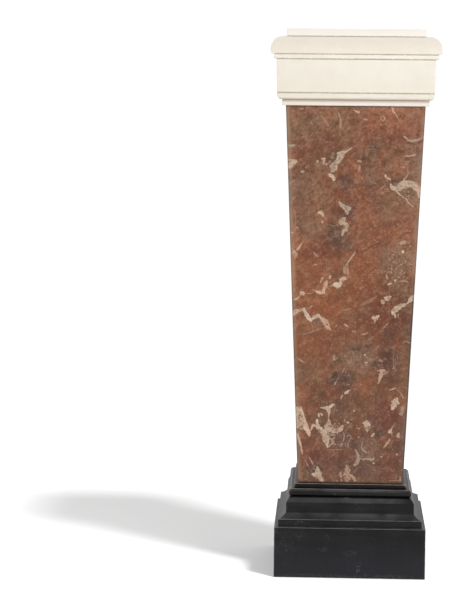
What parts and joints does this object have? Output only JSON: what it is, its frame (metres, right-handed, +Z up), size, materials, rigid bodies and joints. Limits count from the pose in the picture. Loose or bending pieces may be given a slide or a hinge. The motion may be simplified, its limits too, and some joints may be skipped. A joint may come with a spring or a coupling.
{
  "type": "faux marble pedestal",
  "caption": "Square floor pedestal of painted wood: cream capital, downward-tapering shaft painted as red-brown marble, stepped black base; a bust or vase stands on its flat top.",
  "frame": {"origin": "middle of the plinth's underside, on the floor that the pedestal stands on", "axes": "+Z up along the pedestal's axis, -Y out of the side that the picture shows, +X to that side's right"},
  "size_m": [0.343, 0.343, 1.12],
  "materials": {
    "cream_paint": "satin cream paint over wood, slightly yellowed, darker in the joints",
    "marbled_paint": "red-brown paint marbled with cream veins and grey clouds, satin varnish, rubbed arrises",
    "black_paint": "black paint over wood, satin, with worn arrises and light scratches"
  },
  "bodies": {
    "root": {"plinth": "black_paint", "cove_moulding": "black_paint", "base_torus": "black_paint", "base_fillet_board": "black_paint", "shaft": "marbled_paint", "neck_fillet": "cream_paint", "lower_band": "cream_paint", "frieze_block": "cream_paint", "cornice_fillet": "cream_paint", "cushion_moulding": "cream_paint", "top_tablet": "cream_paint"}
  },
  "joints": []
}
